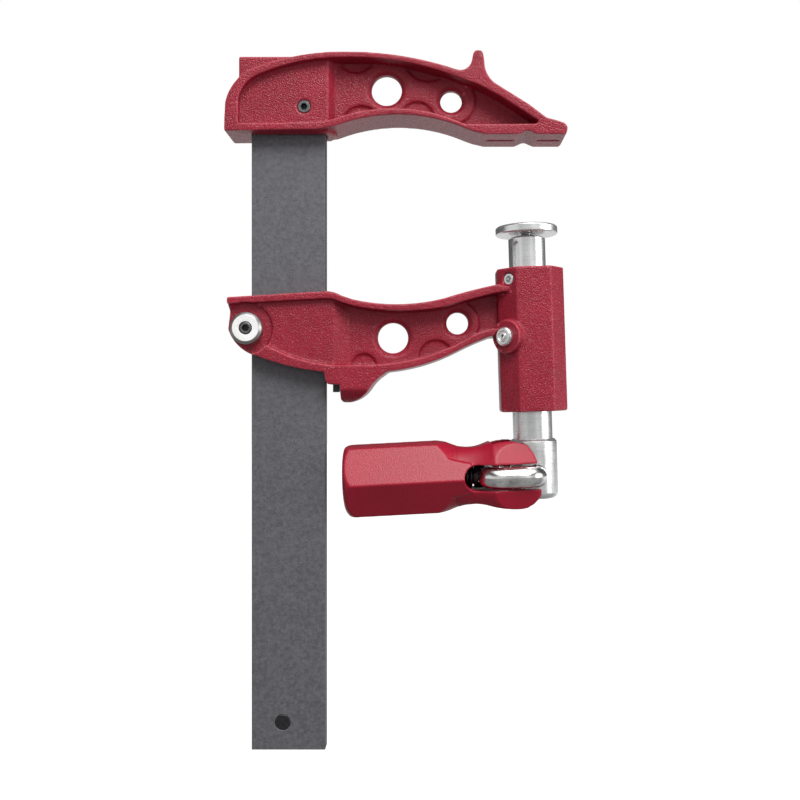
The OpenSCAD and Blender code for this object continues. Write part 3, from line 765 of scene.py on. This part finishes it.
class CLAMP_OT_steel(bpy.types.Operator):
    """Eases the edges of the steel parts and gives them, and the small hidden ones, their finishes"""

    bl_idname = "clamp.steel"
    bl_label = "Steel parts"

    def execute(self, context):
        edge = context.scene.clamp_sizes.steel_edge
        for node, name, body, look in STEEL_PIECES:
            piece = eased_copy(node, name, edge)
            dress(piece, finish(look), STEEL_CREASE)
            place_piece(piece, body, node)
        for node, look in KEPT_NODES:
            holder = frame["nodes"][node]
            holder.data.materials.clear()
            holder.data.materials.append(finish(look))
        return {"FINISHED"}


class CLAMP_OT_link(bpy.types.Operator):
    """Bends the handle's link from round steel"""

    bl_idname = "clamp.link"
    bl_label = "Link"

    def execute(self, context):
        rod_radius, pitch, width, bend = 5 * MM, 22.4 * MM, 33 * MM, 5.9 * MM
        link = grow(link_tree(), "bent_link", {
            "Pitch": pitch, "Width": width, "Bend": bend, "Rod Radius": rod_radius,
            "Waviness": context.scene.clamp_sizes.link_wave, "Material": finish("link"),
            **placed(SPINDLE @ Matrix.Translation((-pitch / 2, 0, 0)))})
        place_piece(link, "link", "handle_link")
        return {"FINISHED"}


def cylinder(name, radius, depth, place):
    """A plain cylinder along the place's own Z, for cutting and joining."""
    work = bmesh.new()
    bmesh.ops.create_cone(work, cap_ends=True, segments=72, radius1=radius, radius2=radius, depth=depth,
                          matrix=place)
    mesh = bpy.data.meshes.new(name)
    work.to_mesh(mesh)
    work.free()
    block = bpy.data.objects.new(name, mesh)
    bpy.context.scene.collection.objects.link(block)
    return block


class CLAMP_OT_spring_seat(bpy.types.Operator):
    """Makes the seat between the handle's spring and the link, with a saddle for the link's bar"""

    bl_idname = "clamp.spring_seat"
    bl_label = "Spring seat"

    def execute(self, context):
        seat = eased_copy("spring_cup", "spring_seat", 0.15 * MM)
        saddle_radius, saddle_start, saddle_reach = 5.6 * MM, -28.0 * MM, 4.2 * MM
        hollow_radius, hollow_middle = 5.05 * MM, -22.4 * MM
        back = Matrix.Rotation(math.radians(90), 4, "Y")
        across = Matrix.Rotation(math.radians(90), 4, "X")
        saddle_place = SPINDLE @ (Matrix.Translation((saddle_start + saddle_reach / 2, 0, 0)) @ back)
        hollow_place = SPINDLE @ (Matrix.Translation((hollow_middle, 0, 0)) @ across)
        blocks = [cylinder("saddle", saddle_radius, saddle_reach, saddle_place),
                  cylinder("hollow", hollow_radius, 4 * saddle_radius, hollow_place)]
        for block, operation in zip(blocks, ("UNION", "DIFFERENCE")):
            join = seat.modifiers.new(block.name, "BOOLEAN")
            join.object = block
            join.operation = operation
            join.solver = "EXACT"
        settle(seat)
        for mesh in [block.data for block in blocks]:
            # Taking away the mesh takes its object with it
            bpy.data.meshes.remove(mesh)
        dress(seat, finish("black"), STEEL_CREASE)
        place_piece(seat, "link", "spring_cup")
        return {"FINISHED"}


class CLAMP_OT_handle(bpy.types.Operator):
    """Rounds the handle and gives it its satin red"""

    bl_idname = "clamp.handle"
    bl_label = "Handle"

    def execute(self, context):
        sizes = context.scene.clamp_sizes
        shell = rounded_shell("handle", "grip_shell", sizes.grip_voxel, sizes.grip_rounds)
        dress(shell, finish("grip"))
        place_piece(shell, "handle", "handle")
        return {"FINISHED"}


# Piece, body, CAD node and joint, then in millimetres the radius of the coil and of the wire and the length,
# then the turns, and how many millimetres the joint presses the spring
SPRINGS = [
    ("grip_spring", "handle", "handle_spring", "handle_push", 5.0, 0.8, 14.8, 7.5, 4.0),
    ("shoe_spring", "arm", "brake_spring", "brake_rock", 1.6, 0.3, 4.9, 5.0, 0.75),
    ("fitting_spring", "arm", "nipple_spring", "nipple_ball_press", 0.75, 0.125, 0.7, 2.0, 0.4),
]


def spring_starts():
    """Where each spring starts, with Z towards its far end."""
    to_rear = Matrix.Rotation(math.radians(-90), 4, "Y")
    inward = Matrix.Rotation(math.radians(180), 4, "X")
    low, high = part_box("brake_spring")
    grip_at, shoe_gap, fitting_back = -29.75 * MM, 0.3 * MM, -0.35 * MM
    shoe_at = Matrix.Translation((low.x + shoe_gap, 0, (low.z + high.z) / 2))
    return {
        "grip_spring": SPINDLE @ Matrix.Translation((grip_at, 0, 0)) @ to_rear,
        "shoe_spring": shoe_at @ to_rear.inverted(),
        "fitting_spring": side_place("nipple_spring") @ inward @ Matrix.Translation((0, 0, fitting_back)),
    }


class CLAMP_OT_springs(bpy.types.Operator):
    """Winds the three coil springs"""

    bl_idname = "clamp.springs"
    bl_label = "Springs"

    def execute(self, context):
        tree = coil_tree()
        starts = spring_starts()
        for name, body, node, joint, coil, wire, length, turns, pressed in SPRINGS:
            start = starts[name]
            spring = grow(tree, name, {
                "Coil Radius": coil * MM, "Wire Radius": wire * MM, "Length": length * MM, "Turns": turns,
                "Material": finish("black"), **placed(start)})
            place_piece(spring, body, node)
            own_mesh(spring)
        return {"FINISHED"}


# ---------------------------------------------------------------- stage

def soft_light(name, where, target, size, power):
    """A square soft light that points at a place."""
    data = bpy.data.lights.new(name, "AREA")
    data.shape = "SQUARE"
    data.size = size
    data.energy = power
    light = bpy.data.objects.new(name, data)
    light.location = where
    light.rotation_euler = (Vector(target) - Vector(where)).to_track_quat("-Z", "Y").to_euler()
    bpy.context.scene.collection.objects.link(light)


ROOM_GLOW = 0.09
# Each panel: the way to its middle, the cosine at its edge, the cosine where it is full, and its strength
PANELS = [
    ((0.1, -0.30, 0.95), 0.70, 0.93, 2.0),
    ((0.0, -1.0, 0.0), 0.60, 0.95, 0.50),
    ((0.57, -0.82, 0.1), 0.88, 0.98, 0.3),
    ((0.97, -0.22, 0.1), 0.84, 0.96, 1.3),
    ((-0.90, -0.45, 0.0), 0.80, 0.97, 0.75),
    ((0.0, 0.95, -0.3), 0.88, 0.96, 0.7),
]


def studio_world():
    """A dim room with soft round panels of light, which the camera sees as plain white."""
    world = bpy.data.worlds.new("studio")
    world.use_nodes = True
    tree = world.node_tree
    tree.nodes.clear()
    heading = add(tree, "ShaderNodeTexCoord").outputs["Generated"]
    total = ROOM_GLOW
    for toward, edge, full, strength in PANELS:
        along = add(tree, "ShaderNodeVectorMath", {0: heading, 1: Vector(toward).normalized()},
                    operation="DOT_PRODUCT").outputs["Value"]
        panel = add(tree, "ShaderNodeMapRange", {"Value": along, "From Min": edge, "From Max": full,
                                                 "To Max": strength}, interpolation_type="SMOOTHSTEP")
        total = maths(tree, "ADD", panel.outputs["Result"], total)
    room = add(tree, "ShaderNodeBackground", {"Color": (1, 1, 1, 1), "Strength": total})
    seen = add(tree, "ShaderNodeBackground", {"Color": (1, 1, 1, 1), "Strength": 1.0})
    path = add(tree, "ShaderNodeLightPath")
    mix = add(tree, "ShaderNodeMixShader",
              {0: path.outputs["Is Camera Ray"], 1: room.outputs[0], 2: seen.outputs[0]})
    add(tree, "ShaderNodeOutputWorld", {"Surface": mix.outputs[0]})
    bpy.context.scene.world = world


def pale_floor(drop):
    """A wide round grey floor that glows behind the clamp, and that the camera sees as almost white."""
    radius, glow_start, glow_full, glow_most, seen_glow = 6.0, 0.1, 0.6, 0.6, 0.95
    work = bmesh.new()
    bmesh.ops.create_circle(work, cap_ends=True, radius=radius, segments=64)
    mesh = bpy.data.meshes.new("floor")
    work.to_mesh(mesh)
    work.free()
    floor = bpy.data.objects.new("floor", mesh)
    floor.location = (0, 0, -drop)
    bpy.context.scene.collection.objects.link(floor)
    material, tree, shader, spot = new_material("pale_floor")
    shader.inputs["Base Color"].default_value = (0.16, 0.16, 0.16, 1)
    shader.inputs["Roughness"].default_value = 0.8
    seen = add(tree, "ShaderNodeLightPath").outputs["Is Camera Ray"]
    depth = add(tree, "ShaderNodeSeparateXYZ", {"Vector": spot}).outputs["Y"]
    swept = spread(tree, depth, glow_start, glow_full, 0.0, glow_most)
    glow = maths(tree, "MAXIMUM", swept, times(tree, seen, seen_glow))
    tree.links.new(add(tree, "ShaderNodeCombineXYZ", {0: glow, 1: glow, 2: glow}).outputs[0],
                   shader.inputs["Emission Color"])
    shader.inputs["Emission Strength"].default_value = 1.0
    mesh.materials.append(material)


class CLAMP_OT_stage(bpy.types.Operator):
    """Sets the camera, the soft lights and the pale floor"""

    bl_idname = "clamp.stage"
    bl_label = "Stage"

    def execute(self, context):
        stage = context.scene.clamp_stage
        data = bpy.data.cameras.new("view")
        data.lens = stage.lens
        data.shift_x, data.shift_y = stage.shift
        camera = bpy.data.objects.new("view", data)
        camera.location = stage.eye
        camera.rotation_euler = (math.radians(90), 0, 0)
        context.scene.collection.objects.link(camera)
        context.scene.camera = camera
        middle = (0.05, 0, 0.2)
        key_place, key_width = (0.66, -2.32, 2.9), 1.7
        fill_place, fill_width = (1.05, -0.32, 0.30), 0.4
        soft_light("key", key_place, middle, key_width, stage.key_power)
        soft_light("fill", fill_place, middle, fill_width, stage.fill_power)
        studio_world()
        pale_floor(stage.floor_drop)
        context.scene.view_settings.view_transform = "Standard"
        return {"FINISHED"}


OPERATORS = [CLAMP_OT_stage, CLAMP_OT_bar, CLAMP_OT_castings, CLAMP_OT_steel, CLAMP_OT_link,
             CLAMP_OT_spring_seat, CLAMP_OT_handle, CLAMP_OT_springs]


class CLAMP_PT_pieces(bpy.types.Panel):
    """Lists the clamp's pieces, sizes and colours"""

    bl_idname = "CLAMP_PT_pieces"
    bl_label = "F clamp"
    bl_space_type = "VIEW_3D"
    bl_region_type = "UI"
    bl_category = "F clamp"

    def draw(self, context):
        for operator in OPERATORS:
            self.layout.operator(operator.bl_idname)
        for group in (context.scene.clamp_sizes, context.scene.clamp_colours, context.scene.clamp_stage):
            box = self.layout.box()
            for name in group.__annotations__:
                box.prop(group, name)


GROUPS = {"clamp_sizes": ClampSizes, "clamp_colours": ClampColours, "clamp_stage": ClampStage}


def register():
    """Registers the property groups, the operators and the panel."""
    for group in GROUPS.values():
        bpy.utils.register_class(group)
    for name, group in GROUPS.items():
        setattr(bpy.types.Scene, name, bpy.props.PointerProperty(type=group))
    for item in [*OPERATORS, CLAMP_PT_pieces]:
        bpy.utils.register_class(item)


def unregister():
    """Removes what register added."""
    for item in [CLAMP_PT_pieces, *reversed(OPERATORS)]:
        bpy.utils.unregister_class(item)
    for name, group in GROUPS.items():
        delattr(bpy.types.Scene, name)
        bpy.utils.unregister_class(group)


def main():
    """Builds every piece and the stage."""
    register()
    for operator in OPERATORS:
        family, action = operator.bl_idname.split(".")
        getattr(getattr(bpy.ops, family), action)()


if __name__ == "__main__":
    main()
